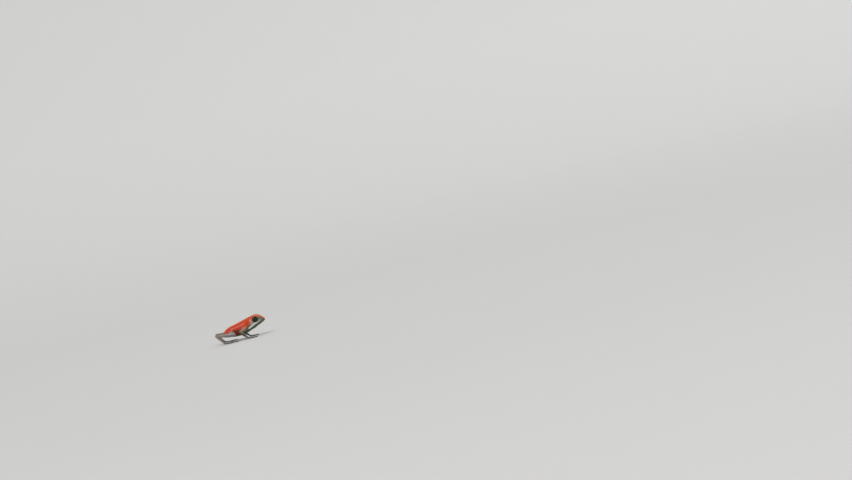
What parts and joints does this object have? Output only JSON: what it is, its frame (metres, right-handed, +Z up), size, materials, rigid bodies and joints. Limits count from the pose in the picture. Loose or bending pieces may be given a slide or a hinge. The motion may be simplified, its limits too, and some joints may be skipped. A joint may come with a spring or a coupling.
{
  "type": "strawberry poison dart frog",
  "caption": "Life-size still poison dart frog sitting with its chest raised, hind legs folded out to the sides, slim toes with discs and large dark eyes.",
  "frame": {"origin": "on the floor under the middle of the frog's box, length and width", "axes": "+X forward to the snout, +Y to the frog's left, +Z up from the floor"},
  "size_m": [0.0256, 0.0176, 0.0104],
  "materials": {
    "red_skin": "finely granular moist red skin of the back and flanks, grey-green underneath",
    "orange_skin": "moist orange-red skin, smoother than the back, with a pale turquoise lip and a grey-green throat",
    "grey_green_skin": "moist grey-green skin with darker mottling",
    "grey_skin": "moist lavender-grey skin with darker mottling",
    "eye": "wet and mirror smooth, near black"
  },
  "bodies": {
    "root": {"trunk": "red_skin", "head": "orange_skin", "eye_left": "eye", "eye_right": "eye", "upper_arm_left": "grey_green_skin", "upper_arm_right": "grey_green_skin", "forearm_left": "grey_green_skin", "forearm_right": "grey_green_skin", "hand_left": "grey_green_skin", "hand_right": "grey_green_skin", "thigh_left": "grey_skin", "thigh_right": "grey_skin", "shank_left": "grey_skin", "shank_right": "grey_skin", "tarsus_left": "grey_skin", "tarsus_right": "grey_skin", "foot_left": "grey_skin", "foot_right": "grey_skin"}
  },
  "joints": []
}
